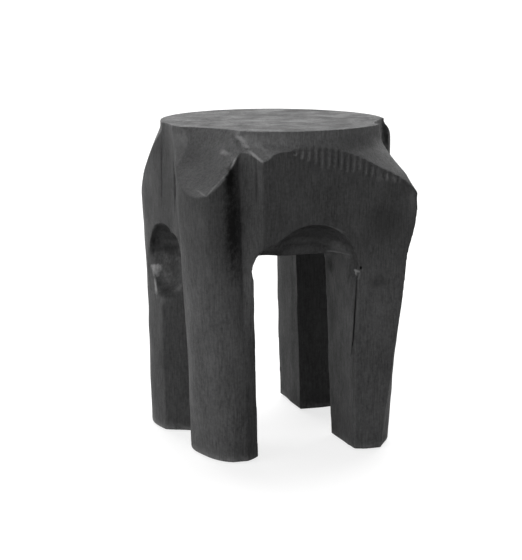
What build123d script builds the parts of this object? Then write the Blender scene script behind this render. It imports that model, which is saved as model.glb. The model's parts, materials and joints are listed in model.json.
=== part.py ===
# Root stool: a round seat on four root legs, all carved from one block of trunk,
# with a felt glide nailed into the end of each leg.
# The frame: +Z up, -Y to the viewer, and the origin on the floor under the middle
# of the whole stool. The seat's own centre stands a little off that middle.
from build123d import *
from math import cos, radians, sin
import os

# The carved block, in millimetres
stool_height = 450
seat_radius = 160
seat_x = -2.5
seat_y = 4.1
crown_reach = 225  # how far the root flares reach, carried up to the seat
arch_height = 260
arch_reach = 205
waist_height = 150
waist_reach = 200
foot_reach = 195
foot_lift = 2  # the felts hold the wood this far off the floor
overrun = 60  # how far every cut runs past the wood

# The trunk's outline at the crown, at the arches, at the waist of the legs and at the
# feet, each point as (angle in degrees, share of that level's reach). A stretch of two
# points is a straight hewn side and a longer one is a curve. The stretches match from
# level to level.
crown_shares = [
    [(163.5, 0.916), (176.0, 0.815), (-169.0, 0.73)],
    [(-169.0, 0.73), (-157.5, 0.695), (-141.8, 0.77)],
    [(-141.8, 0.77), (-133.0, 0.87), (-123.5, 0.943), (-115.0, 0.967), (-109.7, 0.868), (-106.2, 0.731)],
    [(-106.2, 0.731), (-96.9, 0.772), (-88.8, 0.854)],
    [(-88.8, 0.854), (-54.0, 0.81)],
    [(-54.0, 0.81), (-24.6, 1.145)],
    [(-24.6, 1.145), (-25.8, 0.96), (-25.3, 0.811), (-22.9, 0.707), (-9.8, 0.654)],
    [(-9.8, 0.654), (1.9, 0.676), (10.2, 0.75)],
    [(10.2, 0.75), (22.5, 0.825), (38.5, 0.91), (55.0, 0.945), (70.0, 0.88), (80.0, 0.73)],
    [(80.0, 0.73), (93.0, 0.80), (130.7, 0.722)],
    [(130.7, 0.722), (135.0, 0.82), (145.0, 0.935), (154.0, 0.965), (163.5, 0.916)],
]
arch_shares = [
    [(163.2, 0.961), (176.9, 0.872), (-170.1, 0.80)],
    [(-170.1, 0.80), (-157.0, 0.745), (-139.8, 0.796)],
    [(-139.8, 0.796), (-130.5, 0.914), (-121.5, 0.994), (-113.5, 1.017), (-107.6, 0.961), (-103.6, 0.853)],
    [(-103.6, 0.853), (-94.5, 0.866), (-85.6, 0.895)],
    [(-85.6, 0.895), (-53.7, 0.874)],
    [(-53.7, 0.874), (-31.1, 1.10)],
    [(-31.1, 1.10), (-29.3, 1.02), (-25.1, 0.92), (-18.0, 0.836), (-8.3, 0.777)],
    [(-8.3, 0.777), (1.6, 0.785), (10.1, 0.829)],
    [(10.1, 0.829), (24.6, 0.898), (39.3, 0.964), (55.1, 0.992), (69.4, 0.96), (82.0, 0.84)],
    [(82.0, 0.84), (98.0, 0.815), (131.5, 0.81)],
    [(131.5, 0.81), (135.7, 0.909), (142.9, 0.981), (150.9, 1.006), (163.2, 0.961)],
]
waist_shares = [
    [(163.0, 0.956), (177.4, 0.89), (-170.8, 0.816)],
    [(-170.8, 0.816), (-153.5, 0.745), (-138.6, 0.787)],
    [(-138.6, 0.787), (-129.0, 0.914), (-120.2, 0.995), (-112.5, 1.017), (-106.4, 0.99), (-101.7, 0.939)],
    [(-101.7, 0.939), (-98.7, 0.86), (-97.2, 0.756)],
    [(-97.2, 0.756), (-53.6, 0.887)],
    [(-53.6, 0.887), (-35.6, 1.024)],
    [(-35.6, 1.024), (-31.5, 1.008), (-25.0, 0.96), (-15.5, 0.895), (-7.6, 0.832)],
    [(-7.6, 0.832), (1.5, 0.83), (10.1, 0.853)],
    [(10.1, 0.853), (25.9, 0.917), (39.8, 0.976), (55.1, 1.006), (69.3, 0.989), (84.2, 0.884)],
    [(84.2, 0.884), (107.0, 0.79), (131.9, 0.84)],
    [(131.9, 0.84), (136.1, 0.937), (141.6, 0.98), (149.0, 1.0), (163.0, 0.956)],
]
foot_shares = [
    [(164.1, 0.952), (178.3, 0.894), (-172.2, 0.833)],
    [(-172.2, 0.833), (-153.0, 0.76), (-137.6, 0.791)],
    [(-137.6, 0.791), (-129.8, 0.881), (-121.3, 0.948), (-113.4, 1.006), (-106.1, 1.02), (-100.1, 0.964)],
    [(-100.1, 0.964), (-97.5, 0.869), (-95.8, 0.763)],
    [(-95.8, 0.763), (-53.6, 0.91)],
    [(-53.6, 0.91), (-39.6, 0.998)],
    [(-39.6, 0.998), (-31.4, 0.946), (-22.0, 0.91), (-14.0, 0.85), (-7.2, 0.817)],
    [(-7.2, 0.817), (1.5, 0.81), (10.6, 0.835)],
    [(10.6, 0.835), (24.6, 0.905), (38.6, 0.97), (54.7, 1.005), (69.5, 0.996), (85.3, 0.885)],
    [(85.3, 0.885), (108.0, 0.8), (134.3, 0.845)],
    [(134.3, 0.845), (138.4, 0.927), (143.5, 0.96), (150.0, 0.975), (164.1, 0.952)],
]

# The flat side sawn off the front, between the middle rib and the right leg
front_angle = -70
front_face = 162  # from the seat's axis

# The cove that sweeps out from under the seat's rim, in three sectors. The valleys
# between the root flares are where one sector meets the next.
cove_left_angle = 130.7
cove_front_angle = -141.8
cove_right_angle = -9.8
cove_reach = 260
front_rim_drop = 21  # where the upright rim would meet the flare
front_cove_radius = 38
front_cove_drop = 134  # at the cove's full reach
left_rim_drop = 10
left_cove_radius = 18
left_cove_drop = 245
right_rim_drop = 5
right_cove_radius = 11
right_cove_drop = 115

# The openings between the legs: a straight channel from the front arch to the back,
# and a shorter one out of it to each side
vault_height = 275
corner_height = 252  # where the walls begin to lean in to the vault
front_left_wall = 72
front_left_corner = 85
front_right_wall = 59
front_right_corner = 60
back_left_wall = 72
back_left_corner = 78
back_right_wall = 73
back_right_corner = 64
channel_reach = 240
left_corner_share = 0.8  # of a wall's distance, where its corner meets the vault
right_corner_share = 0.97
left_channel_angle = 170
left_channel_near = 122
left_channel_near_corner = 130
left_channel_far = 56.5
left_channel_start = 25
left_vault_height = 286
right_channel_angle = 20
right_channel_near = 80
right_channel_near_corner = 48
right_channel_far = 57
right_channel_far_corner = 72

# The dished mouths of the four openings, the front and left ones gouged in two bites.
# A face is where a mouth is cut from, measured from the seat's axis, a height is that of
# a mouth's centre, and a shift is how far the centre is off the middle of its face. The
# left bites are cut above their centres only.
round_mouth_arc = 360
half_mouth_arc = 180
front_mouth_height = 256
front_mouth_radius = 66
front_mouth_depth = 48
front_bite_shift = -52
front_bite_height = 262
front_bite_radius = 34
front_bite_depth = 60
right_mouth_angle = 20
right_mouth_face = 166
right_mouth_shift = -6
right_mouth_height = 250
right_mouth_radius = 64
right_mouth_depth = 42
back_mouth_angle = 110
back_mouth_face = 164
back_mouth_shift = 3
back_mouth_height = 256
back_mouth_radius = 68
back_mouth_depth = 45
left_mouth_angle = -160
left_mouth_face = 161
left_mouth_shift = -20
left_mouth_height = 250
left_mouth_radius = 52
left_mouth_depth = 38
left_bite_face = 158
left_bite_shift = 9
left_bite_height = 249
left_bite_radius = 47
left_bite_depth = 46

# The flat bevel that runs down the left leg's front corner from the opening, to a tip
left_bevel_angle = -156
left_bevel_tilt = 3  # how far it leans back
left_bevel_face = 158.2
left_bevel_shift = -41
left_bevel_tip_height = 199
left_bevel_width = 100
left_bevel_length = 52

# The felt glides under the feet
glide_radius = 13
glide_height = 5.5
glide_base = 2.5  # from the floor to the cup's rim
felt_radius = 11
felt_thickness = 5
felt_edge = 0.8
nail_radius = 1.25
nail_head_radius = 4
nail_head_thickness = 1.5
nail_length = 20  # in the wood, past the cup
nail_point_length = 3
nail_point_radius = 0.3
pocket_clearance = 0.3
nail_clearance = 0.1
# Where each glide sits: (angle in degrees, share of the feet's reach)
glide_shares = {
    "front_left": (-114.7, 0.83),
    "front_right": (-34.0, 0.76),
    "back_right": (57.0, 0.80),
    "back_left": (169.0, 0.67),
}


def point_at(reach, place):
    """A point in plan, from an angle and a share of the reach."""
    angle, share = place
    turn = radians(angle)
    return (seat_x + reach * share * cos(turn), seat_y + reach * share * sin(turn))


def upright_plane(angle, distance=0):
    """The upright plane that faces out at an angle, at a distance from the seat's axis."""
    turn = radians(angle)
    out = (cos(turn), sin(turn), 0)
    across = (-sin(turn), cos(turn), 0)
    return Plane(origin=(seat_x, seat_y, 0), x_dir=across, z_dir=out).offset(distance)


def trunk_outline(height, reach, stretches):
    """The trunk's outline at one height, as a face."""
    with BuildSketch(Plane.XY.offset(height)) as outline:
        with BuildLine():
            for stretch in stretches:
                points = [point_at(reach, place) for place in stretch]
                if len(points) == 2:
                    Line(*points)
                else:
                    Spline(*points)
        make_face()
    return outline.sketch


def cove_cutter(start, end, rim_drop, radius, drop):
    """What the cove takes away between two angles: straight down from the seat's edge,
    round a hollow curve, and out along a straight flare."""
    turn = radians(start)
    radial = Plane(origin=(seat_x, seat_y, stool_height), x_dir=(cos(turn), sin(turn), 0),
                   z_dir=(sin(turn), -cos(turn), 0))
    with BuildPart() as cutter:
        with BuildSketch(radial):
            with BuildLine():
                FilletPolyline((seat_radius, 0), (seat_radius, -rim_drop), (cove_reach, -drop),
                               radius=radius)
                Polyline((cove_reach, -drop), (cove_reach, overrun), (seat_radius, overrun),
                         (seat_radius, 0))
            make_face()
        revolve(axis=Axis((seat_x, seat_y, 0), (0, 0, 1)), revolution_arc=(end - start) % 360)
    return cutter.part


def channel_profile(plane, left, left_corner, right_corner, right):
    """The section of a channel: leaning walls under a flat vault."""
    with BuildSketch(plane) as profile:
        with BuildLine():
            Polyline((-left, -overrun), (-left_corner, corner_height),
                     (-left_corner * left_corner_share, vault_height),
                     (right_corner * right_corner_share, vault_height),
                     (right_corner, corner_height), (right, -overrun), close=True)
        make_face()
    return profile.sketch


def mouth_cutter(angle, face, height, shift, radius, depth, arc):
    """A dished mouth: round at the face and half an egg behind it, or its upper half."""
    turn = radians(angle)
    out = Vector(cos(turn), sin(turn), 0)
    across = Vector(-sin(turn), cos(turn), 0)
    center = Vector(seat_x, seat_y, height) + out * face + across * shift
    with BuildPart() as cutter:
        with BuildSketch(Plane(origin=center, x_dir=out, z_dir=(0, 0, 1))):
            with BuildLine():
                EllipticalCenterArc((0, 0), depth, radius, start_angle=90, arc_size=90)
                Polyline((-depth, 0), (overrun, 0), (overrun, radius), (0, radius))
            make_face()
        revolve(axis=Axis(center, out), revolution_arc=arc)
    return cutter.part


def floor_plane(foot, height):
    """A level plane at a height, centred on a foot's glide."""
    x, y = point_at(foot_reach, glide_shares[foot])
    return Plane((x, y, height))


# The trunk before it is carved, as four outlines
trunk_outlines = [
    trunk_outline(foot_lift, foot_reach, foot_shares),
    trunk_outline(waist_height, waist_reach, waist_shares),
    trunk_outline(arch_height, arch_reach, arch_shares),
    trunk_outline(stool_height, crown_reach, crown_shares),
]

# What the cove takes away, sector by sector
front_cove = cove_cutter(cove_front_angle, cove_right_angle, front_rim_drop,
                         front_cove_radius, front_cove_drop)
right_cove = cove_cutter(cove_right_angle, cove_left_angle, right_rim_drop,
                         right_cove_radius, right_cove_drop)
left_cove = cove_cutter(cove_left_angle, cove_front_angle, left_rim_drop,
                        left_cove_radius, left_cove_drop)

# The sections of the channels between the legs
front_section = channel_profile(upright_plane(front_angle, channel_reach), front_left_wall,
                                front_left_corner, front_right_corner, front_right_wall)
back_section = channel_profile(upright_plane(front_angle, -channel_reach), back_left_wall,
                               back_left_corner, back_right_corner, back_right_wall)
right_section = channel_profile(upright_plane(right_channel_angle), right_channel_near,
                                right_channel_near_corner, right_channel_far_corner,
                                right_channel_far)

# The dished mouths of the openings
mouths = [
    mouth_cutter(front_angle, front_face, front_mouth_height, 0,
                 front_mouth_radius, front_mouth_depth, round_mouth_arc),
    mouth_cutter(front_angle, front_face, front_bite_height, front_bite_shift,
                 front_bite_radius, front_bite_depth, round_mouth_arc),
    mouth_cutter(right_mouth_angle, right_mouth_face, right_mouth_height, right_mouth_shift,
                 right_mouth_radius, right_mouth_depth, round_mouth_arc),
    mouth_cutter(back_mouth_angle, back_mouth_face, back_mouth_height, back_mouth_shift,
                 back_mouth_radius, back_mouth_depth, round_mouth_arc),
    mouth_cutter(left_mouth_angle, left_mouth_face, left_mouth_height, left_mouth_shift,
                 left_mouth_radius, left_mouth_depth, half_mouth_arc),
    mouth_cutter(left_mouth_angle, left_bite_face, left_bite_height, left_bite_shift,
                 left_bite_radius, left_bite_depth, half_mouth_arc),
]

# The left bevel's plane, with its origin at the tip
left_bevel_plane = (upright_plane(left_bevel_angle, left_bevel_face)
                    * Pos(left_bevel_shift, left_bevel_tip_height) * Rot(-left_bevel_tilt))

# The heights in a glide. Each is a nylon cup, sunk into the foot and held by one nail,
# with a felt pad glued in over the nail's head.
cup_roof = glide_base + glide_height
nail_tip = cup_roof + nail_length

# The block, carved, with a pocket in each foot for its glide
with BuildPart() as carved_body:
    loft(trunk_outlines, ruled=True)
    with BuildSketch(upright_plane(front_angle, front_face)):
        Rectangle(2 * cove_reach, 2 * (stool_height + overrun))
    extrude(amount=cove_reach, mode=Mode.SUBTRACT)
    add([front_cove, right_cove, left_cove], mode=Mode.SUBTRACT)
    loft([front_section, back_section], ruled=True, mode=Mode.SUBTRACT)
    extrude(right_section, amount=channel_reach, mode=Mode.SUBTRACT)
    with BuildSketch(upright_plane(left_channel_angle, left_channel_start)):
        with BuildLine():
            Polyline((left_channel_far, corner_height), (left_channel_far, -overrun),
                     (left_channel_near, -overrun), (left_channel_near_corner, corner_height))
            ThreePointArc((left_channel_near_corner, corner_height),
                          ((left_channel_near_corner + left_channel_far) / 2, left_vault_height),
                          (left_channel_far, corner_height))
        make_face()
    extrude(amount=channel_reach, mode=Mode.SUBTRACT)
    for mouth in mouths:
        add(mouth, mode=Mode.SUBTRACT)
    with BuildSketch(left_bevel_plane):
        with Locations((0, left_bevel_length / 2)):
            Rectangle(left_bevel_width, left_bevel_length)
    extrude(amount=overrun, mode=Mode.SUBTRACT)
    for foot in glide_shares:
        with BuildSketch(floor_plane(foot, -overrun)):
            Circle(glide_radius + pocket_clearance)
        extrude(amount=overrun + cup_roof, mode=Mode.SUBTRACT)
        with BuildSketch(floor_plane(foot, cup_roof)):
            Circle(nail_radius + nail_clearance)
        extrude(amount=nail_length + nail_clearance, mode=Mode.SUBTRACT)
carved_body.part.label = "carved_body"


def glide_cup(foot):
    """The nylon cup, with a recess for the felt, one for the nail's head, and its hole."""
    with BuildPart() as cup:
        with BuildSketch(floor_plane(foot, glide_base)):
            Circle(glide_radius)
        extrude(amount=glide_height)
        with BuildSketch(floor_plane(foot, glide_base)):
            Circle(felt_radius)
        extrude(amount=felt_thickness - glide_base, mode=Mode.SUBTRACT)
        with BuildSketch(floor_plane(foot, felt_thickness)):
            Circle(nail_head_radius + nail_clearance)
        extrude(amount=nail_head_thickness, mode=Mode.SUBTRACT)
        with BuildSketch(floor_plane(foot, felt_thickness)):
            Circle(nail_radius + nail_clearance)
        extrude(amount=glide_height, mode=Mode.SUBTRACT)
    return cup.part


def felt_pad(foot):
    """The felt that meets the floor, its edge rounded over by wear."""
    with BuildPart() as pad:
        with BuildSketch(floor_plane(foot, 0)):
            Circle(felt_radius)
        extrude(amount=felt_thickness)
        chamfer(pad.edges().group_by(Axis.Z)[0], felt_edge)
    return pad.part


def glide_nail(foot):
    """The nail: a flat head, a shank through the cup and a point in the wood."""
    with BuildPart() as nail:
        with BuildSketch(floor_plane(foot, felt_thickness)):
            Circle(nail_head_radius)
        extrude(amount=nail_head_thickness)
        with BuildSketch(floor_plane(foot, felt_thickness)):
            Circle(nail_radius)
        extrude(amount=nail_tip - nail_point_length - felt_thickness)
        with BuildSketch(floor_plane(foot, nail_tip - nail_point_length)):
            Circle(nail_radius)
        with BuildSketch(floor_plane(foot, nail_tip)):
            Circle(nail_point_radius)
        loft()
    return nail.part


os.makedirs("parts", exist_ok=True)
export_step(carved_body.part, "parts/carved_body.step")
for foot in glide_shares:
    pieces = {"glide_cup": glide_cup(foot), "felt_pad": felt_pad(foot), "glide_nail": glide_nail(foot)}
    for kind, piece in pieces.items():
        piece.label = f"{kind}_{foot}"
        export_step(piece, f"parts/{piece.label}.step")

box = carved_body.part.bounding_box()
print("volume", carved_body.part.volume, "solids", len(carved_body.part.solids()))
print("box", box.min, box.max)
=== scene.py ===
import json
from math import atan2, cos, pi, radians, sin
import bpy
import numpy as np
from mathutils import Matrix, Vector


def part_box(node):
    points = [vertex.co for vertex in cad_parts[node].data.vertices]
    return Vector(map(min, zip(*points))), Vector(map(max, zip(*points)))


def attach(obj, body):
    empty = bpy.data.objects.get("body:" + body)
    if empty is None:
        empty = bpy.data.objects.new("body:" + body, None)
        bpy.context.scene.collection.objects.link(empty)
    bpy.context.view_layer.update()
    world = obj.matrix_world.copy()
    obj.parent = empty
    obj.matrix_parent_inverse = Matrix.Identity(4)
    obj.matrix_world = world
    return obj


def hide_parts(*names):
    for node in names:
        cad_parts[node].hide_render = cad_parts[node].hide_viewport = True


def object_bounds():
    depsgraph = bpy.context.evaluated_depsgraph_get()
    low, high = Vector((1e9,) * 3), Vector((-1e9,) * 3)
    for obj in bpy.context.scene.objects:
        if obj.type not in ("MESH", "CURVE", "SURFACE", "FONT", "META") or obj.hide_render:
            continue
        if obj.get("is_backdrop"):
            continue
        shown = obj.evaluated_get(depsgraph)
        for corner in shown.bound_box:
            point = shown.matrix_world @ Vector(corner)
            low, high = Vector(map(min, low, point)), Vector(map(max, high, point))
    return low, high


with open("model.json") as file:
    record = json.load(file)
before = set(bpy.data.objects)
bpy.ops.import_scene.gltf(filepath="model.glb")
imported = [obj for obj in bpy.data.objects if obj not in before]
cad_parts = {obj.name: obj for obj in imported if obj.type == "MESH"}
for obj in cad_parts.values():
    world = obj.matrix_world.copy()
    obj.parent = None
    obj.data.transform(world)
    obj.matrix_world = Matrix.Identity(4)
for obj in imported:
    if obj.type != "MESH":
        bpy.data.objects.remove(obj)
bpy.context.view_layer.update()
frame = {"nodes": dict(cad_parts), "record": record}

# The camera stands a long way off, a little above the seat, and looks down at the stool
# from its front. It is aimed from the middle of the seat, which the record gives.
seat_middle = Vector(next(m["pos_m"] for m in frame["record"]["mounts"] if m["name"] == "seat_top"))
camera_back = 2.4106
camera_height = 0.695
camera_pitch = radians(11.206)
camera_yaw = radians(0.405)
focal_pixels = 1700
image_height = 560

bpy.ops.object.select_all(action="DESELECT")
bpy.ops.object.camera_add(
    location=(seat_middle.x, seat_middle.y - camera_back, camera_height),
    rotation=(radians(90) - camera_pitch, 0, camera_yaw))
camera = bpy.context.active_object
camera.data.lens = camera.data.sensor_width * focal_pixels / image_height
bpy.context.scene.camera = camera

# The carved body. The real one is a single block from the root of a tree, hewn with its
# seat and legs in one, gouged hollow between the legs, rubbed smooth by hand and stained
# black. Its tool marks are cut from a copy of the plain block, which is then softened.
seat_edge = (0.443, 0.447)  # the heights between which the side turns into the seat
seat_flat = (0.446, 0.449)
front_angle = radians(-70)  # the way the sawn front face looks
front_face = 0.162  # from the seat's axis
merge_distance = 0.00001
egg_sides = 48
egg_rings = 24
wood_voxel = 0.0015
wood_smoothings = 5
wood_triangles = 186000


def pick(piece):
    """Select a piece and nothing else."""
    bpy.ops.object.select_all(action="DESELECT")
    piece.select_set(True)
    bpy.context.view_layer.objects.active = piece


carved_wood = bpy.data.objects.new("carved_wood", frame["nodes"]["carved_body"].data.copy())
bpy.context.collection.objects.link(carved_wood)
pick(carved_wood)
bpy.ops.object.mode_set(mode="EDIT")
bpy.ops.mesh.select_all(action="SELECT")
bpy.ops.mesh.remove_doubles(threshold=merge_distance)
bpy.ops.object.mode_set(mode="OBJECT")
bpy.ops.mesh.customdata_custom_splitnormals_clear()


def apply_to(piece, modifier):
    """Apply a modifier to a piece, with nothing else selected."""
    pick(piece)
    bpy.ops.object.modifier_apply(modifier=modifier.name)


def cut_away(wood, cutter):
    """Take a cutter out of the wood and put the cutter away."""
    cut = wood.modifiers.new("cut", "BOOLEAN")
    cut.operation = "DIFFERENCE"
    cut.solver = "MANIFOLD"
    cut.object = cutter
    apply_to(wood, cut)
    bpy.data.objects.remove(cutter)


def side_point(angle, away, across, height):
    """A point so far from the seat's axis on the side that looks this way, across and up."""
    return Vector((seat_middle.x + away * cos(angle) - across * sin(angle),
                   seat_middle.y + away * sin(angle) + across * cos(angle), height))


def egg_cutter(place, half_sizes, turn=(0, 0, 0)):
    """An egg-shaped cutter at a place, with these half sizes, turned."""
    bpy.ops.object.select_all(action="DESELECT")
    bpy.ops.mesh.primitive_uv_sphere_add(segments=egg_sides, ring_count=egg_rings, radius=1,
                                         location=place, rotation=turn, scale=half_sizes)
    return bpy.context.active_object


# A row of short upright gouge strokes under the front face's top edge, each given by its
# place across the face, its top and its foot. The strokes follow the edge down.
strokes = [
    (-0.0276, 0.426, 0.418), (-0.0182, 0.427, 0.414), (-0.0090, 0.428, 0.410),
    (0.0003, 0.430, 0.406), (0.0094, 0.428, 0.398), (0.0193, 0.427, 0.398),
    (0.0286, 0.427, 0.400), (0.0373, 0.425, 0.397), (0.0468, 0.420, 0.394),
    (0.0559, 0.417, 0.393), (0.0646, 0.414, 0.393), (0.0738, 0.408, 0.388),
    (0.0831, 0.403, 0.386), (0.0910, 0.398, 0.379), (0.1009, 0.393, 0.378),
    (0.1082, 0.390, 0.378), (0.1183, 0.384, 0.375)]
stroke_half_width = 0.0034
stroke_half_depth = 0.0040
stroke_depth = 0.0026
stroke_half_share = 0.62  # the egg's half height, as a share of the stroke's length
stroke_face = front_face + (stroke_half_depth - stroke_depth)
for across, top, foot in strokes:
    middle = side_point(front_angle, stroke_face, across, (top + foot) / 2)
    half_height = (top - foot) * stroke_half_share
    cut_away(carved_wood, egg_cutter(middle, (stroke_half_depth, stroke_half_width, half_height),
                                     (0, 0, front_angle)))

# Fine upright grooves left by the gouge on the left web and beside the middle rib, each
# given by its middle and its half height
grooves = [((-0.1592, -0.0326, 0.378), 0.060), ((-0.1400, -0.0700, 0.345), 0.062),
           ((-0.1370, -0.0760, 0.372), 0.030), ((-0.0247, -0.1684, 0.382), 0.034)]
groove_half_width = 0.0018
for middle, half_height in grooves:
    cut_away(carved_wood, egg_cutter(middle, (groove_half_width, groove_half_width, half_height)))


def bowl_cutter(place, normal, along, half_width, half_length, depth, steepness=0.45):
    """A cutter for a shallow bowl that faces a way and runs along another."""
    normal = Vector(normal).normalized()
    side = Vector(along).cross(normal).normalized()
    turn = Matrix((side, normal.cross(side), normal)).transposed().to_euler()
    reach = depth / (1 - (1 - steepness ** 2) ** 0.5)
    return egg_cutter(Vector(place) + normal * (reach - depth),
                      (half_width / steepness, half_length / steepness, reach), turn)


# The scoop in the cove over the front left leg, a bowl as wide as the leg
scoop_place = (-0.099, -0.146, 0.407)
scoop_faces = (-0.42, -0.64, 0.64)
scoop_runs = (-0.30, -0.52, -0.80)
scoop_half_width = 0.044
scoop_half_length = 0.062
scoop_depth = 0.006
cut_away(carved_wood, bowl_cutter(scoop_place, scoop_faces, scoop_runs,
                                  scoop_half_width, scoop_half_length, scoop_depth))

# The shallow hollow cut beside the scoop, over the middle rib
hollow_place = (-0.031, -0.1575, 0.4275)
hollow_faces = (-0.10, -0.88, 0.46)
hollow_runs = (0.80, -0.38, -0.46)
hollow_half_width = 0.011
hollow_half_length = 0.030
hollow_depth = 0.0024
hollow_steepness = 0.35
cut_away(carved_wood, bowl_cutter(hollow_place, hollow_faces, hollow_runs, hollow_half_width,
                                  hollow_half_length, hollow_depth, hollow_steepness))

# The dish that carries the left opening's mouth down on to the leg
dish_place = (-0.170, -0.035, 0.252)
dish_half_sizes = (0.048, 0.048, 0.055)
cut_away(carved_wood, egg_cutter(dish_place, dish_half_sizes))

# A chip knocked off the arch's right edge, and the small worm hole beside it
chip_place = (0.1115, -0.1255, 0.2540)
chip_half_sizes = (0.0050, 0.0040, 0.0045)
chip_turn = (0.4, 0.5, 0)
hole_place = (0.1187, -0.1242, 0.2597)
hole_half_sizes = (0.0022, 0.0080, 0.0032)
cut_away(carved_wood, egg_cutter(chip_place, chip_half_sizes, chip_turn))
cut_away(carved_wood, egg_cutter(hole_place, hole_half_sizes, (0, 0, front_angle + pi / 2)))

# The marks are softened: the block is remeshed fine and even, then smoothed.
carved_wood.data.use_remesh_preserve_attributes = False
carved_wood.data.remesh_voxel_size = wood_voxel
pick(carved_wood)
bpy.ops.object.voxel_remesh()
soften = carved_wood.modifiers.new("soften", "SMOOTH")
soften.iterations = wood_smoothings
apply_to(carved_wood, soften)

weight_steps = 20
near_core = 0.45  # how far out the middle of a spot reaches, as a share of its half sizes


def corners(piece, what="co"):
    """Where a piece's corners are, or with "normal" which way they face, one row each."""
    values = np.empty(3 * len(piece.data.vertices), np.float32)
    piece.data.vertices.foreach_get(what, values)
    return values.reshape(-1, 3)


def weight_group(piece, name, weights):
    """A vertex group with these weights."""
    group = piece.vertex_groups.new(name=name)
    steps = np.round(np.clip(weights, 0, 1) * weight_steps).astype(int)
    for step in range(1, weight_steps + 1):
        chosen = np.flatnonzero(steps == step)
        if len(chosen):
            group.add(chosen.tolist(), step / weight_steps, "REPLACE")
    return group


def ease(value, low, high):
    """From 0 at low to 1 at high, without a corner."""
    share = np.clip((value - low) / (high - low), 0, 1)
    return share * share * (3 - 2 * share)


def rub_down(weights, passes):
    """Rub the wood soft where the weights say."""
    weight_group(carved_wood, "soft", weights)
    rub = carved_wood.modifiers.new("rub", "SMOOTH")
    rub.iterations = passes
    rub.vertex_group = "soft"
    apply_to(carved_wood, rub)
    carved_wood.vertex_groups.remove(carved_wood.vertex_groups["soft"])


def near(spot, half_sizes):
    """How near each corner is to a spot, from 0 at these half sizes to 1 in the middle."""
    away = np.linalg.norm((corners(carved_wood) - np.array(spot)) / np.array(half_sizes), axis=1)
    return 1 - ease(away, near_core, 1.0)


def angles_round(places):
    """The angle of each place round the seat's axis, in degrees."""
    return np.degrees(np.arctan2(places[:, 1] - seat_middle.y, places[:, 0] - seat_middle.x))


# Where two passes of the cove meet, a step is rubbed away.
step_angles = (-141.8, 130.7)
step_width = (2, 6)  # degrees to each side, rubbed in full and no more
step_foot = (0.33, 0.36)
step_passes = 60
place = corners(carved_wood)
around = angles_round(place)
near_step = sum(1 - ease(np.abs(around - angle), *step_width) for angle in step_angles)
near_step *= ease(place[:, 2], *step_foot) * (1 - ease(place[:, 2], *seat_edge))
rub_down(near_step, step_passes)

# Other edges that the hand has rounded, each given by its middle, its half sizes and how
# many passes it took: the front right leg's inner edge, the left opening's upper lip, the
# right shoulder, the left opening's lower lip, the front arch's left edge, the middle rib's
# left edge at its top, and the front arch's bevel and right edge
rounded_edges = [((0.108, -0.123, 0.120), (0.024, 0.024, 0.200), 70),
                 ((-0.150, -0.010, 0.248), (0.060, 0.060, 0.024), 260),
                 ((0.188, -0.098, 0.365), (0.026, 0.026, 0.030), 90),
                 ((-0.145, -0.026, 0.203), (0.050, 0.030, 0.020), 220),
                 ((-0.008, -0.160, 0.292), (0.036, 0.040, 0.022), 90),
                 ((-0.046, -0.160, 0.385), (0.012, 0.016, 0.042), 60),
                 ((0.050, -0.150, 0.285), (0.080, 0.045, 0.055), 10),
                 ((0.096, -0.108, 0.272), (0.028, 0.030, 0.026), 30)]
for spot, half_sizes, passes in rounded_edges:
    rub_down(near(spot, half_sizes), passes)

# The right shoulder swells a little past the straight side, and the middle rib's top
# corner stands up a little into the cove
swells = [("shoulder", (0.176, -0.102, 0.348), (0.060, 0.060, 0.075), "X", 0.0045),
          ("rib_top", (-0.012, -0.172, 0.408), (0.050, 0.036, 0.032), "Z", 0.0050)]
for name, spot, half_sizes, way, rise in swells:
    weight_group(carved_wood, name, near(spot, half_sizes))
    swell = carved_wood.modifiers.new(name, "DISPLACE")
    swell.direction = way
    swell.strength = rise
    swell.mid_level = 0
    swell.vertex_group = name
    apply_to(carved_wood, swell)

# The hand's unevenness, less on the seat than on the sides
uneven_size = 0.055
uneven_depth = 0.0026
seat_evenness = 0.8
place = corners(carved_wood)
unevenness = bpy.data.textures.new("unevenness", "CLOUDS")
unevenness.noise_scale = uneven_size
unevenness.noise_depth = 1
weight_group(carved_wood, "uneven", 1 - seat_evenness * ease(place[:, 2], *seat_flat))
uneven = carved_wood.modifiers.new("uneven", "DISPLACE")
uneven.texture = unevenness
uneven.strength = uneven_depth
uneven.mid_level = 0.5
uneven.vertex_group = "uneven"
apply_to(carved_wood, uneven)

ring_turbulence = 3
ring_noise_size = 1.2
ring_waves = 20  # radians of wave in a metre of the texture, before it is scaled


def gouge_rings(center, spacing, depth, weights):
    """Rings of shallow gouge strokes round a centre, where the weights say."""
    rings = bpy.data.textures.new("rings", "WOOD")
    rings.wood_type = "RINGNOISE"
    rings.noise_basis_2 = "SIN"
    rings.turbulence = ring_turbulence
    rings.noise_scale = ring_noise_size
    bpy.ops.object.select_all(action="DESELECT")
    bpy.ops.object.empty_add(location=center)
    middle = bpy.context.active_object
    middle.scale = [spacing * ring_waves / (2 * pi)] * 3
    bpy.context.view_layer.update()
    group = weight_group(carved_wood, "rings", weights)
    strokes_cut = carved_wood.modifiers.new("strokes", "DISPLACE")
    strokes_cut.texture = rings
    strokes_cut.texture_coords = "OBJECT"
    strokes_cut.texture_coords_object = middle
    strokes_cut.strength = depth
    strokes_cut.mid_level = 1
    strokes_cut.vertex_group = group.name
    apply_to(carved_wood, strokes_cut)
    carved_wood.vertex_groups.remove(carved_wood.vertex_groups["rings"])
    bpy.data.objects.remove(middle)


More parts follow.
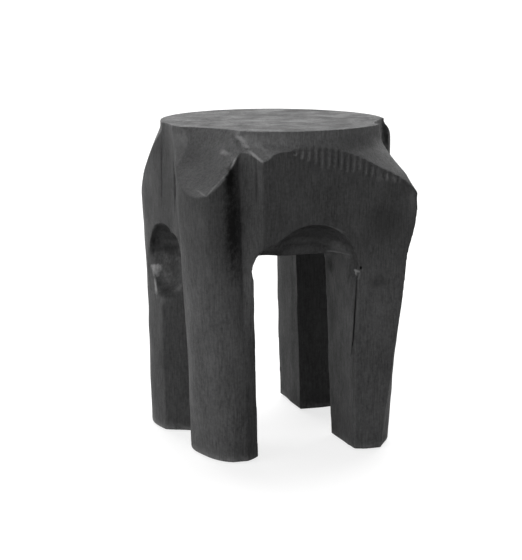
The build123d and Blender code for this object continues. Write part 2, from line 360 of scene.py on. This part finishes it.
# The long curved strokes in the dished mouths of the four openings, each mouth given by
# its direction, its face, height, shift, radius and depth, and by how much of it they fill:
# all of it, or its upper half
mouths = [
    (front_angle, front_face, 0.256, 0, 0.066, 0.048, "full"),
    (radians(20), 0.166, 0.250, -0.006, 0.064, 0.042, "full"),
    (radians(110), 0.164, 0.256, 0.003, 0.068, 0.045, "full"),
    (radians(-160), 0.161, 0.250, -0.020, 0.052, 0.038, "half")]
mouth_stroke_spacing = 0.0075
mouth_stroke_depth = 0.0011
mouth_rim = (1.02, 1.15)  # where the strokes run out, as a share of the mouth's size
mouth_lip = (0.0005, 0.004)
half_mouth_fade = 0.004
mouth_center_out = 0.01
mouth_center_drop = 0.03


def inside_mouth(angle, face, height, shift, radius, depth, arc):
    """How far a corner lies inside a dished mouth, from 0 to 1."""
    place = corners(carved_wood)
    out = (place[:, 0] - seat_middle.x) * cos(angle) + (place[:, 1] - seat_middle.y) * sin(angle)
    across = (place[:, 1] - seat_middle.y) * cos(angle) - (place[:, 0] - seat_middle.x) * sin(angle)
    round_axis = np.hypot(across - shift, place[:, 2] - height)
    inside = np.sqrt((round_axis / radius) ** 2 + ((face - out) / depth) ** 2)
    upper = ease(place[:, 2], height - half_mouth_fade, height + half_mouth_fade) if arc == "half" else 1
    return (1 - ease(inside, *mouth_rim)) * ease(face - out, *mouth_lip) * upper


for mouth in mouths:
    angle, face, height, shift = mouth[:4]
    center = side_point(angle, face + mouth_center_out, shift, height - mouth_center_drop)
    gouge_rings(center, mouth_stroke_spacing, mouth_stroke_depth, inside_mouth(*mouth))

# The strokes that swirl round the scoop
swirl_center = (-0.110, -0.128, 0.432)
swirl_spacing = 0.0065
swirl_depth = 0.00010
swirl_fade = (0.040, 0.058)
place = corners(carved_wood)
from_scoop = np.linalg.norm(place - np.array(scoop_place), axis=1)
gouge_rings(swirl_center, swirl_spacing, swirl_depth, 1 - ease(from_scoop, *swirl_fade))


def standing_out(passes):
    """How far each corner stands out of the wood round it, in metres."""
    copied = carved_wood.copy()
    copied.data = carved_wood.data.copy()
    bpy.context.collection.objects.link(copied)
    flatten = copied.modifiers.new("flatten", "SMOOTH")
    flatten.iterations = passes
    apply_to(copied, flatten)
    out = ((place - corners(copied)) * corners(carved_wood, "normal")).sum(1)
    bpy.data.objects.remove(copied)
    return out


def keep_on_mesh(name, values):
    """Keep one number for each corner on the mesh."""
    layer = carved_wood.data.attributes.new(name, "FLOAT", "POINT")
    layer.data.foreach_set("value", values.astype(np.float32))


# What the hand has rubbed pale, the fine creases, which are darkened, and the deep hollows, which get
# painted
# shade: how far each corner stands out of, or lies in, the wood round it, kept on the mesh for the stain to
# read
narrow_passes = 12
wide_passes = 90
rubbed_height = (0.00012, 0.0009)
crease_depth = (0.00005, 0.0006)
deep_hollow = (0.0003, 0.004)
place = corners(carved_wood)
narrow = standing_out(narrow_passes)
wide = standing_out(wide_passes)
keep_on_mesh("rubbed", ease(narrow, *rubbed_height))
keep_on_mesh("creased", ease(-narrow, *crease_depth))
keep_on_mesh("hollow", ease(-wide, *deep_hollow))

# The seat's flat top, which is dustier than the sides
seat_slope = (0.8, 0.95)
upward = corners(carved_wood, "normal")[:, 2]
heights = place[:, 2]
keep_on_mesh("seat", ease(upward, *seat_slope) * ease(heights, *seat_edge))

# Painted light on the cove: how much paler the upward-facing cove and the band under the rim are painted,
# more towards the top and the front
cove_slope = (0.10, 0.35)
cove_foot = (0.33, 0.40)
under_rim = (0.421, 0.433)
cove_light_rise = (0.36, 0.43)
cove_light_low = 0.30
cove_light_more_up = 0.70
cove_light_turn = (-113, -105)  # degrees round the seat, from the scoop to the front
cove_light_left = 0.22
cove_light_more_front = 0.88
painted_light = np.maximum(ease(upward, *cove_slope) * ease(heights, *cove_foot), ease(heights, *under_rim))
painted_light *= ((cove_light_low + cove_light_more_up * ease(heights, *cove_light_rise))
             * (cove_light_left + cove_light_more_front * ease(angles_round(place), *cove_light_turn)))
keep_on_mesh("painted_light", painted_light)

# The wear round the feet and on the row of gouge strokes
foot_wear_height = (0.003, 0.013)
sole_slope = (-0.6, -0.1)
stroke_halo = 0.0046
keep_on_mesh("foot_wear", (1 - ease(heights, *foot_wear_height)) * ease(upward, *sole_slope))
keep_on_mesh("chiselled", np.max([near(side_point(front_angle, front_face, across, (top + foot) / 2),
                                       (stroke_halo, stroke_halo, (top - foot) * stroke_half_share))
                                  for across, top, foot in strokes], axis=0))

thin = carved_wood.modifiers.new("thin", "DECIMATE")
thin.ratio = wood_triangles / (2 * len(carved_wood.data.polygons))
apply_to(carved_wood, thin)


def crack_cutter(line, back, depth_direction):
    """A blade that opens a crack: a line of (place, half width), cut back into the wood."""
    points, faces = [], []
    sideways = Vector(depth_direction).cross(Vector(line[-1][0]) - Vector(line[0][0])).normalized()
    for middle, half_width in line:
        for side in (-half_width, half_width):
            points.append(Vector(middle) + sideways * side - Vector(depth_direction) * back)
            points.append(Vector(middle) + Vector(depth_direction) * back)
    for k in range(len(line) - 1):
        a, b = 4 * k, 4 * k + 4
        faces += [(a, a + 2, b + 2, b), (a + 1, b + 1, b + 3, a + 3), (a, b, b + 1, a + 1),
                  (a + 2, a + 3, b + 3, b + 2)]
    last = 4 * (len(line) - 1)
    faces += [(0, 1, 3, 2), (last, last + 2, last + 3, last + 1)]
    blade = bpy.data.meshes.new("crack")
    blade.from_pydata(points, [], faces)
    cutter = bpy.data.objects.new("crack", blade)
    bpy.context.collection.objects.link(cutter)
    pick(cutter)
    bpy.ops.object.mode_set(mode="EDIT")
    bpy.ops.mesh.select_all(action="SELECT")
    bpy.ops.mesh.normals_make_consistent(inside=False)
    bpy.ops.object.mode_set(mode="OBJECT")
    return cutter


# The drying crack down the inner edge of the front right leg, and the short one in the seat
leg_crack = [((0.1125, -0.125, 0.249), 0.0003), ((0.1118, -0.125, 0.232), 0.0007),
             ((0.1106, -0.125, 0.205), 0.0013), ((0.1096, -0.125, 0.180), 0.0016),
             ((0.1084, -0.124, 0.158), 0.0012), ((0.1066, -0.123, 0.144), 0.0007),
             ((0.1060, -0.122, 0.134), 0.0002)]
leg_crack_half_depth = 0.012
leg_crack_inward = (0.03, 0.9995, 0)
seat_crack = [((-0.1410, -0.0300, 0.450), 0.0003), ((-0.1370, -0.0290, 0.450), 0.0011),
              ((-0.1330, -0.0288, 0.450), 0.0013), ((-0.1290, -0.0278, 0.450), 0.0006),
              ((-0.1250, -0.0276, 0.450), 0.0002)]
seat_crack_half_depth = 0.006
cut_away(carved_wood, crack_cutter(leg_crack, leg_crack_half_depth, leg_crack_inward))
cut_away(carved_wood, crack_cutter(seat_crack, seat_crack_half_depth, (0, 0, -1)))
carved_wood.vertex_groups.clear()
pick(carved_wood)
bpy.ops.object.shade_smooth()


def add_node(tree, kind, inputs=None, **settings):
    """A shader node with its settings, its inputs given as values or as other sockets."""
    node = tree.nodes.new(kind)
    for name, value in settings.items():
        setattr(node, name, value)
    for name, value in (inputs or {}).items():
        socket = node.inputs[name]
        if isinstance(value, bpy.types.NodeSocket):
            tree.links.new(value, socket)
        else:
            socket.default_value = value
    return node


def number(tree, operation, *values):
    """Numbers put together by an operation."""
    return add_node(tree, "ShaderNodeMath", dict(enumerate(values)), operation=operation).outputs[0]


def vector(tree, operation, *values, result=0):
    """Vectors put together by an operation."""
    node = add_node(tree, "ShaderNodeVectorMath", dict(enumerate(values)), operation=operation)
    return node.outputs[result]


def times(tree, a, b):
    """One number times another."""
    return number(tree, "MULTIPLY", a, b)


def mapped(tree, value, low, high, new_low=0.0, new_high=1.0):
    """A number carried from one range to another, and held there."""
    return add_node(tree, "ShaderNodeMapRange", {"Value": value, "From Min": low, "From Max": high,
                                                 "To Min": new_low, "To Max": new_high}).outputs[0]


def between(tree, share, a, b):
    """A number between two others."""
    return add_node(tree, "ShaderNodeMix", {0: share, 2: a, 3: b}, data_type="FLOAT").outputs[0]


def mixed(tree, share, a, b, blend="MIX"):
    """Two colours mixed."""
    node = add_node(tree, "ShaderNodeMix", {0: share, 6: a, 7: b}, data_type="RGBA", blend_type=blend)
    return node.outputs[2]


def new_material(name):
    """A new material, with its node tree, its shader and the place on the piece."""
    material = bpy.data.materials.new(name)
    material.use_nodes = True
    nodes = material.node_tree
    place_on_piece = add_node(nodes, "ShaderNodeTexCoord").outputs["Object"]
    return material, nodes, nodes.nodes["Principled BSDF"], place_on_piece


# The black stain over the wood's own grain. Its rings run round an upright heart, so they
# show as rings on the seat and as long streaks down the sides.
stained_wood, tree, shader, where = new_material("black_stained_wood")
stain_dark = (0.0094, 0.0094, 0.0095, 1)
stain_pale = (0.0500, 0.0500, 0.0507, 1)
lit_paler = (3.4, 2.2)  # how many times paler the dark and the pale stain are painted where light falls on the cove
lit_dark = tuple(lit_paler[0] * part for part in stain_dark[:3]) + (1,)
lit_pale = tuple(lit_paler[1] * part for part in stain_pale[:3]) + (1,)
seat_dark = (0.014, 0.014, 0.0141, 1)
seat_pale = (0.066, 0.066, 0.0667, 1)
# the near-black of the pores, also used to paint shade
pore_black_and_shade = (0.006, 0.006, 0.006, 1)
bare_wood_and_highlight = (0.20, 0.20, 0.201, 1)


def kept(name):
    """A number that was kept on the mesh."""
    return add_node(tree, "ShaderNodeAttribute", attribute_name=name).outputs["Fac"]


def noise(space, scale, detail=3, roughness=0.55, low=0.3, high=0.7):
    """A cloudy pattern, spread over 0 to 1."""
    cloud = add_node(tree, "ShaderNodeTexNoise", {"Vector": space, "Scale": scale, "Detail": detail,
                                                  "Roughness": roughness}).outputs["Fac"]
    return mapped(tree, cloud, low, high)


def blend(*parts):
    """Several patterns added up, each with its share."""
    total = 0.0
    for pattern, share in parts:
        total = number(tree, "MULTIPLY_ADD", pattern, share, total)
    return total


def stretched(space, along_grain):
    """A space in which a pattern is drawn out along the upright grain."""
    return add_node(tree, "ShaderNodeMapping", {"Vector": space, "Scale": (1, 1, along_grain)}).outputs[0]


# The grain: growth rings round the heart, which sways, with flecks, hairs and pores drawn
# out along it, and mottle and patches that take no notice of it
heart = (0.030, 0.012, 0)
sway_width = 0.03
ring_count = 260.0  # in a metre
sway = add_node(tree, "ShaderNodeTexNoise", {"Vector": stretched(where, 0.22), "Scale": 7, "Detail": 1})
sway = vector(tree, "SUBTRACT", sway.outputs["Color"], (0.5, 0.5, 0.5))
sway = vector(tree, "MULTIPLY", sway, (sway_width, sway_width, 0))
swayed = vector(tree, "ADD", where, sway)
from_heart = vector(tree, "SUBTRACT", swayed, heart)
flat = vector(tree, "MULTIPLY", from_heart, (1, 1, 0))
ring_radius = vector(tree, "LENGTH", flat, result="Value")
ring_phase = times(tree, ring_radius, ring_count)
rings = add_node(tree, "ShaderNodeTexNoise", {"W": ring_phase, "Scale": 1, "Detail": 3},
                 noise_dimensions="1D")
rings = mapped(tree, rings.outputs["Fac"], low=0.25, high=0.75)
flecks = noise(stretched(swayed, 0.16), scale=420, roughness=0.6, low=0.36, high=0.64)
hairs = noise(stretched(swayed, 0.03), scale=800, roughness=0.6, low=0.36, high=0.64)
mottle = noise(where, scale=240, detail=5, roughness=0.75, low=0.38, high=0.62)
patches = noise(stretched(where, 0.5), scale=26, detail=5, roughness=0.65, low=0.34, high=0.66)
haze = noise(where, scale=60, detail=5, roughness=0.7, low=0.36, high=0.64)
scuffs = noise(where, scale=150, detail=5, roughness=0.7, low=0.35, high=0.65)
pores = add_node(tree, "ShaderNodeTexVoronoi", {"Vector": stretched(swayed, 0.06), "Scale": 420})
pores = mapped(tree, pores.outputs["Distance"], low=0.10, high=0.32)
side_tone = blend((rings, 0.06), (flecks, 0.28), (hairs, 0.12), (mottle, 0.30), (patches, 0.24))
seat_tone = blend((rings, 0.12), (mottle, 0.16), (patches, 0.40), (haze, 0.32))

# The sides, with painted light: paler on the cove and under the rim, and down the legs,
# most on the front ones, as though lit from the floor, and paler again just above the floor
leg_top = (0.24, 0.30)
front_legs = (-0.10, -0.05)
front_legs_lit_paler = 1.55
back_legs_lit_paler = 1.05
near_floor = (0.02, 0.10)
near_floor_paler = 1.16
split = add_node(tree, "ShaderNodeSeparateXYZ", {0: where})
across, depth_in, height = split.outputs["X"], split.outputs["Y"], split.outputs["Z"]
side_colour = mixed(tree, side_tone, stain_dark, stain_pale)
lit_side_colour = mixed(tree, side_tone, lit_dark, lit_pale)
# Painted light on the cove and under the rim
side_colour = mixed(tree, kept("painted_light"), side_colour, lit_side_colour)
# Painted light: the legs are painted paler below the seat block, as though lit from the floor, the front
# ones most
legs_lit_paler = mapped(tree, depth_in, *front_legs, front_legs_lit_paler, back_legs_lit_paler)
lit_low_down = mapped(tree, height, *leg_top, legs_lit_paler, 1.0)
side_colour = mixed(tree, 1.0, side_colour, lit_low_down, "MULTIPLY")
# Paler still just above the floor
at_foot = mapped(tree, height, *near_floor, near_floor_paler, 1.0)
side_colour = mixed(tree, 1.0, side_colour, at_foot, "MULTIPLY")

# The seat, paler towards its two ends
seat_ends = (0.08, 0.15)
seat_ends_paler = 1.28
seat_colour = mixed(tree, seat_tone, seat_dark, seat_pale)
at_ends = mapped(tree, number(tree, "ABSOLUTE", across), *seat_ends, 1.0, seat_ends_paler)
seat_colour = mixed(tree, 1.0, seat_colour, at_ends, "MULTIPLY")
colour = mixed(tree, kept("seat"), side_colour, seat_colour)

# Dark knots in the front right leg, each given by its place and half sizes
knots = [((0.1506, -0.1126, 0.3200), (0.028, 0.030, 0.026)),
         ((0.142, -0.1157, 0.2385), (0.018, 0.018, 0.009))]
knot_fade = (0.3, 1.2)
knot_darkness = 0.55
for knot_place, knot_size in knots:
    away = vector(tree, "DIVIDE", vector(tree, "SUBTRACT", where, knot_place), knot_size)
    away = vector(tree, "LENGTH", away, result="Value")
    colour = mixed(tree, mapped(tree, away, *knot_fade, knot_darkness, 0.0), colour, stain_dark)

# Bare wood where edges are rubbed, where the gouge has cut and round the feet
rubbed_bareness = 0.40
rubbed_range = (0.15, 1.0)
chiselled_range = (0.12, 0.30)
foot_range = (0.15, 0.6)
rubbed = times(tree, kept("rubbed"), mapped(tree, scuffs, 0, 1, *rubbed_range))
chiselled = times(tree, kept("chiselled"), mapped(tree, mottle, 0, 1, *chiselled_range))
foot_worn = times(tree, kept("foot_wear"), mapped(tree, scuffs, 0, 1, *foot_range))
for bareness in (times(tree, rubbed, rubbed_bareness), chiselled, foot_worn):
    colour = mixed(tree, bareness, colour, bare_wood_and_highlight)

# Marks of worn bare wood with painted highlights on lit rims and edges, and of painted shade,
# each a stroke from one (x, height) to another at one depth, with its half width and how strong it is
worn_and_lit_marks = [((-0.1752, 0.2350), (-0.1665, 0.2352), 0.006, 0.0048, 1.0),
              ((-0.1742, 0.2320), (-0.1705, 0.2260), 0.004, 0.0050, 1.0),
              ((-0.1738, 0.2260), (-0.1698, 0.1980), -0.005, 0.0024, 0.9),
              ((-0.1640, 0.2300), (-0.1560, 0.2200), -0.012, 0.0070, 0.22),
              ((-0.1620, 0.2340), (-0.1400, 0.2360), -0.020, 0.0100, 0.14),
              ((-0.1655, 0.3045), (-0.1580, 0.3020), -0.030, 0.0012, 0.35),
              ((-0.1580, 0.3020), (-0.1380, 0.2860), -0.055, 0.0012, 0.30),
              ((-0.0600, 0.3990), (-0.0500, 0.4170), -0.162, 0.0020, 0.85),
              ((-0.0720, 0.3875), (-0.0600, 0.3990), -0.175, 0.0014, 0.35),
              ((-0.0905, 0.3680), (-0.0720, 0.3875), -0.185, 0.0014, 0.30),
              ((-0.1050, 0.3742), (-0.0905, 0.3680), -0.185, 0.0016, 0.30),
              ((-0.0745, 0.4215), (-0.0620, 0.4205), -0.153, 0.0036, 0.45),
              ((-0.0950, 0.4330), (-0.0720, 0.4290), -0.142, 0.0080, 0.09),
              ((-0.0495, 0.4410), (-0.0430, 0.4395), -0.150, 0.0034, 0.80),
              ((-0.0440, 0.4365), (-0.0390, 0.4350), -0.150, 0.0034, 0.70),
              ((-0.0430, 0.4320), (-0.0350, 0.4290), -0.153, 0.0028, 0.75),
              ((-0.0350, 0.4250), (-0.0165, 0.4115), -0.164, 0.0023, 0.90),
              ((-0.0400, 0.4360), (-0.0200, 0.4230), -0.157, 0.0100, 0.16),
              ((0.0745, 0.2790), (0.0912, 0.2771), -0.104, 0.0017, 0.45),
              ((0.0912, 0.2771), (0.1033, 0.2757), -0.110, 0.0015, 0.35),
              ((0.0860, 0.2860), (0.1000, 0.2740), -0.102, 0.0130, 0.22),
              ((0.1100, 0.2550), (0.1142, 0.2545), -0.120, 0.0022, 1.0),
              ((0.1115, 0.2525), (0.1118, 0.2495), -0.120, 0.0017, 0.9),
              ((0.1885, 0.3650), (0.1880, 0.3350), -0.098, 0.0060, 0.15),
              ((0.0400, 0.3215), (0.0680, 0.3225), -0.145, 0.0016, 0.14),
              ((0.0680, 0.3225), (0.0970, 0.3095), -0.138, 0.0016, 0.14)]
shade_marks = [((-0.0580, 0.3880), (-0.0568, 0.2600), -0.172, 0.0140, 0.86),
               ((-0.0570, 0.4460), (-0.0455, 0.4260), -0.150, 0.0045, 0.28),
               ((-0.1250, 0.4400), (-0.1050, 0.4100), -0.130, 0.0160, 0.16),
               ((-0.0580, 0.4060), (-0.0600, 0.3700), -0.173, 0.0074, 0.98),
               ((-0.1600, 0.2880), (-0.1420, 0.2680), -0.010, 0.0200, 0.35),
               ((-0.1620, 0.2640), (-0.1400, 0.2590), 0.008, 0.0130, 0.48),
               ((-0.1480, 0.2520), (-0.1400, 0.2240), 0.001, 0.0160, 0.46),
               ((-0.1640, 0.2030), (-0.1400, 0.2030), -0.020, 0.0085, 0.40),
               ((0.1560, 0.4480), (0.1615, 0.4120), 0.025, 0.0100, 0.78),
               ((0.0745, 0.2560), (0.0790, 0.2440), -0.045, 0.0090, 0.36),
               ((-0.0249, 0.4134), (-0.0250, 0.3533), -0.168, 0.0010, 0.45),
               ((-0.1592, 0.4200), (-0.1600, 0.3350), -0.032, 0.0013, 0.35),
               ((-0.1385, 0.4100), (-0.1385, 0.3100), -0.070, 0.0013, 0.35)]
mark_depth = 0.020
mark_raggedness = 0.5
mark_fade = (0.60, 1.40)


def marked(first, last, depth, half_width, strength):
    """How far the wood carries a mark, with a ragged edge."""
    along = Vector((last[0] - first[0], 0, last[1] - first[1]))
    here = add_node(tree, "ShaderNodeMapping", {
        "Vector": where, "Location": ((first[0] + last[0]) / 2, depth, (first[1] + last[1]) / 2),
        "Rotation": (0, atan2(along.x, along.z), 0),
        "Scale": (half_width, mark_depth, along.length / 2 + half_width)}, vector_type="TEXTURE").outputs[0]
    ragged = blend((vector(tree, "LENGTH", here, result="Value"), 1.0), (scuffs, mark_raggedness))
    return times(tree, mapped(tree, ragged, *mark_fade, 1.0, 0.0), strength)


# Worn bare wood, and painted highlights along lit rims, edges and the chip
for mark in worn_and_lit_marks:
    colour = mixed(tree, marked(*mark), colour, bare_wood_and_highlight)
# Painted shade in the deep hollows, and darker fine creases
hollow_shade = 0.40
crease_darkening = 0.35
hollow_shade_and_creases = blend((kept("hollow"), hollow_shade), (kept("creased"), crease_darkening))
colour = mixed(tree, hollow_shade_and_creases, colour, pore_black_and_shade)
# Painted shade: dark marks in recesses, grooves and shadowed spots, which also gleam less
in_painted_shade = 0.0
for mark in shade_marks:
    shade_here = marked(*mark)
    colour = mixed(tree, shade_here, colour, pore_black_and_shade)
    in_painted_shade = number(tree, "MAXIMUM", in_painted_shade, shade_here)
pore_darkness = 0.35
colour = mixed(tree, mapped(tree, pores, 0, 1, pore_darkness, 0.0), colour, pore_black_and_shade)

# Painted shade: the crack's dark line down the front right leg, as a slanting upright plane
crack_lean = (1, 0, -0.0560)
crack_place = 0.0992
crack_half_width = (0.0006, 0.0020)
crack_foot = (0.130, 0.150)
crack_top = (0.240, 0.256)
crack_inner_end = (-0.112, -0.104)
crack_shade_darkness = 0.9
crack_line = vector(tree, "DOT_PRODUCT", where, crack_lean, result="Value")
from_crack = number(tree, "ABSOLUTE", number(tree, "SUBTRACT", crack_line, crack_place))
in_crack_shade = mapped(tree, from_crack, *crack_half_width, 1.0, 0.0)
in_crack_shade = times(tree, in_crack_shade, mapped(tree, height, *crack_foot))
in_crack_shade = times(tree, in_crack_shade, mapped(tree, height, *crack_top, 1.0, 0.0))
in_crack_shade = times(tree, in_crack_shade, mapped(tree, depth_in, *crack_inner_end, 1.0, 0.0))
colour = mixed(tree, times(tree, in_crack_shade, crack_shade_darkness), colour, pore_black_and_shade)
tree.links.new(colour, shader.inputs["Base Color"])

# The finish: the sides have a soft sheen, the seat is duller, and the painted shade marks are dullest and
# gleam least
shine_spread = (0.2, 0.8)
side_dullness = (0.60, 0.42)
seat_dullness = (0.90, 0.62)
shade_dullness = 0.92
wood_gleam = 0.28
shade_gleam = 0.05
relief_strength = 0.35
relief_depth = 0.0005
shine = blend((side_tone, 0.5), (patches, 0.5))
side_roughness = mapped(tree, shine, *shine_spread, *side_dullness)
seat_roughness = mapped(tree, shine, *shine_spread, *seat_dullness)
roughness = between(tree, kept("seat"), side_roughness, seat_roughness)
roughness = between(tree, in_painted_shade, roughness, shade_dullness)
tree.links.new(roughness, shader.inputs["Roughness"])
tree.links.new(mapped(tree, in_painted_shade, 0, 1, wood_gleam, shade_gleam), shader.inputs["Specular IOR Level"])
relief = blend((flecks, 0.5), (hairs, 0.4), (mottle, 0.4), (pores, 0.5))
bump = add_node(tree, "ShaderNodeBump", {"Height": relief, "Strength": relief_strength,
                                         "Distance": relief_depth})
tree.links.new(bump.outputs[0], shader.inputs["Normal"])

carved_wood.data.materials.clear()
carved_wood.data.materials.append(stained_wood)
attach(carved_wood, "root")
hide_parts("carved_body")

# The cups of the four glides, black nylon, moulded, pressed into the wood of each foot.
# Their finish is the faint orange skin of the mould, dusty where they meet the floor.
nylon, tree, shader, where = new_material("black_nylon")
nylon_black = (0.012, 0.012, 0.012, 1)
nylon_dusty = (0.040, 0.039, 0.037, 1)
nylon_dullness = (0.38, 0.62)
skin_strength = 0.2
skin_depth = 0.0002
skin = noise(where, scale=900, detail=2)
dust = noise(where, scale=140, detail=4, roughness=0.7)
tree.links.new(mixed(tree, dust, nylon_black, nylon_dusty), shader.inputs["Base Color"])
tree.links.new(mapped(tree, dust, 0, 1, *nylon_dullness), shader.inputs["Roughness"])
bump = add_node(tree, "ShaderNodeBump", {"Height": skin, "Strength": skin_strength, "Distance": skin_depth})
tree.links.new(bump.outputs[0], shader.inputs["Normal"])
for name, node in frame["nodes"].items():
    if name.startswith("glide_cup"):
        node.material_slots[0].material = nylon

# The nails that hold the cups: steel, with round heads, struck once each, with fine
# turning marks and a little rust.
steel, tree, shader, where = new_material("nail_steel")
steel_grey = (0.45, 0.44, 0.43, 1)
rust_brown = (0.13, 0.06, 0.03, 1)
steel_dullness = (0.28, 0.70)
turning_strength = 0.25
turning_depth = 0.0001
shader.inputs["Metallic"].default_value = 1.0
turning = noise(stretched(where, 8), scale=700)
rust = noise(where, scale=380, detail=4, roughness=0.7, low=0.55, high=0.75)
tree.links.new(mixed(tree, rust, steel_grey, rust_brown), shader.inputs["Base Color"])
wear = blend((turning, 0.4), (rust, 0.6))
tree.links.new(mapped(tree, wear, 0, 1, *steel_dullness), shader.inputs["Roughness"])
bump = add_node(tree, "ShaderNodeBump", {"Height": turning, "Strength": turning_strength,
                                         "Distance": turning_depth})
tree.links.new(bump.outputs[0], shader.inputs["Normal"])
for name, node in frame["nodes"].items():
    if name.startswith("glide_nail"):
        node.material_slots[0].material = steel

# The felt pads, discs of pressed grey wool glued into the cups over the nails' heads. They
# are all of one kind, a little fuzzy on the side and rounded at the edge.
felt, tree, shader, where = new_material("pressed_felt")
felt_dark = (0.030, 0.030, 0.031, 1)
felt_pale = (0.100, 0.099, 0.097, 1)
felt_dullness = 0.95
felt_gleam = 0.15
felt_sheen = 0.35
felt_sheen_spread = 0.5
wool_strength = 0.6
wool_depth = 0.0005
wool = noise(where, scale=1400, detail=5, roughness=0.75)
clumps = noise(where, scale=260)
felt_tone = blend((wool, 0.6), (clumps, 0.4))
tree.links.new(mixed(tree, felt_tone, felt_dark, felt_pale), shader.inputs["Base Color"])
shader.inputs["Roughness"].default_value = felt_dullness
shader.inputs["Specular IOR Level"].default_value = felt_gleam
shader.inputs["Sheen Weight"].default_value = felt_sheen
shader.inputs["Sheen Roughness"].default_value = felt_sheen_spread
bump = add_node(tree, "ShaderNodeBump", {"Height": wool, "Strength": wool_strength,
                                         "Distance": wool_depth})
tree.links.new(bump.outputs[0], shader.inputs["Normal"])

felt_sides = 48
felt_insets = 3
felt_inset_share = 0.28  # of the radius
felt_edge = 0.0009
felt_edge_steps = 3
felt_smooth_angle = radians(50)
felt_fuzz_depth = 0.0003
felt_fuzz_size = 0.0016
level_face = 0.9
low, high = (Vector(corner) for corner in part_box("felt_pad_front_left"))
felt_radius = (high.x - low.x) / 2
first_middle = (low + high) / 2
bpy.ops.object.select_all(action="DESELECT")
bpy.ops.mesh.primitive_cylinder_add(vertices=felt_sides, radius=felt_radius, depth=high.z - low.z,
                                    location=first_middle)
first_pad = bpy.context.active_object
bpy.ops.object.mode_set(mode="EDIT")
bpy.ops.mesh.select_mode(type="FACE")
bpy.ops.mesh.select_all(action="DESELECT")
bpy.ops.object.mode_set(mode="OBJECT")
for face in first_pad.data.polygons:
    face.select = abs(face.normal.z) > level_face
bpy.ops.object.mode_set(mode="EDIT")
for _ in range(felt_insets):
    bpy.ops.mesh.inset(thickness=felt_radius * felt_inset_share)
bpy.ops.object.mode_set(mode="OBJECT")
bpy.ops.object.transform_apply(location=True, rotation=True, scale=True)
rounded = first_pad.modifiers.new("rounded", "BEVEL")
rounded.width = felt_edge
rounded.segments = felt_edge_steps
rounded.limit_method = "ANGLE"
apply_to(first_pad, rounded)
felt_fuzz = bpy.data.textures.new("felt_fuzz", "CLOUDS")
felt_fuzz.noise_scale = felt_fuzz_size
fuzz = first_pad.modifiers.new("fuzz", "DISPLACE")
fuzz.texture = felt_fuzz
fuzz.texture_coords = "OBJECT"
fuzz.strength = felt_fuzz_depth
fuzz.mid_level = 1.0  # inward only, so that no pad dips into the floor
apply_to(first_pad, fuzz)
bpy.ops.object.shade_smooth_by_angle(angle=felt_smooth_angle)
first_pad.data.materials.append(felt)

pads = {"front_left": first_pad}
for foot in ("front_right", "back_right", "back_left"):
    pad = first_pad.copy()
    pad.data = first_pad.data.copy()
    bpy.context.collection.objects.link(pad)
    low, high = (Vector(corner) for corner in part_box(f"felt_pad_{foot}"))
    pad.data.transform(Matrix.Translation((low + high) / 2 - first_middle))
    pads[foot] = pad
for foot, pad in pads.items():
    pad.name = f"felt_{foot}"
    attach(pad, "root")
    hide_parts(f"felt_pad_{foot}")

# The floor, a wide pale sheet. It is seen as almost white, and throws less light back at
# the stool than it shows.
floor_size = 80
white = (1, 1, 1, 1)
floor_glow = 0.75
floor_shaded = (0.30, 0.30, 0.30, 1)
floor_thrown = (0.35, 0.35, 0.35, 1)
bpy.ops.object.select_all(action="DESELECT")
bpy.ops.mesh.primitive_plane_add(size=floor_size)
floor = bpy.context.active_object
floor.name = "floor"
floor_paint = bpy.data.materials.new("pale_floor")
floor_paint.use_nodes = True
paint = floor_paint.node_tree
paint.nodes.clear()
seen_white = add_node(paint, "ShaderNodeEmission", {"Color": white, "Strength": floor_glow}).outputs[0]
shaded = add_node(paint, "ShaderNodeBsdfDiffuse", {"Color": floor_shaded}).outputs[0]
pale = add_node(paint, "ShaderNodeAddShader", {0: seen_white, 1: shaded}).outputs[0]
dull = add_node(paint, "ShaderNodeBsdfDiffuse", {"Color": floor_thrown}).outputs[0]
looked_at = add_node(paint, "ShaderNodeLightPath").outputs["Is Camera Ray"]
either = add_node(paint, "ShaderNodeMixShader", {0: looked_at, 1: dull, 2: pale}).outputs[0]
add_node(paint, "ShaderNodeOutputMaterial", {"Surface": either})
floor.data.materials.append(floor_paint)
floor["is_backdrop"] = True

# Four broad soft lights, each given by the angle round the stool and the angle up that it
# comes from, and its power: two from the left, a weak one in front, and one high behind
lights = [("left_light", 180, 15, 1.05), ("front_left_light", -150, 20, 1.38),
          ("front_light", -90, 25, 0.17), ("back_light", 90, 60, 3.67)]
light_spread = radians(45)


def from_angles(around, up):
    """The direction at an angle round the stool and an angle up from the floor."""
    return Vector((cos(radians(around)) * cos(radians(up)), sin(radians(around)) * cos(radians(up)),
                   sin(radians(up))))


for name, around, up, power in lights:
    bpy.ops.object.light_add(type="SUN")
    light = bpy.context.active_object
    light.name = name
    light.rotation_euler = from_angles(around, up).to_track_quat("Z", "Y").to_euler()
    light.data.energy = power
    light.data.angle = light_spread

# The room: a white backdrop, with a glow behind the stool and a fainter one in front, each
# given by its angle round, its angle up and its strength
glows = [(90, 8, 1.81), (-90, 20, 0.90)]
glow_edge = 0.4
surround = bpy.data.worlds.new("surround")
bpy.context.scene.world = surround
surround.use_nodes = True
sky = surround.node_tree
backdrop = sky.nodes["Background"]
direction = add_node(sky, "ShaderNodeTexCoord").outputs["Generated"]
room = 0.0
for around, up, strength in glows:
    toward = vector(sky, "DOT_PRODUCT", direction, from_angles(around, up), result="Value")
    glow = add_node(sky, "ShaderNodeMapRange", {"Value": toward, "From Min": glow_edge, "From Max": 1.0},
                    interpolation_type="SMOOTHSTEP").outputs[0]
    room = number(sky, "MULTIPLY_ADD", glow, strength, room)
seen = add_node(sky, "ShaderNodeLightPath").outputs["Is Camera Ray"]
sky.links.new(between(sky, seen, room, 1.0), backdrop.inputs["Strength"])
backdrop.inputs["Color"].default_value = white
bpy.context.scene.view_settings.view_transform = "Standard"

low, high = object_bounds()
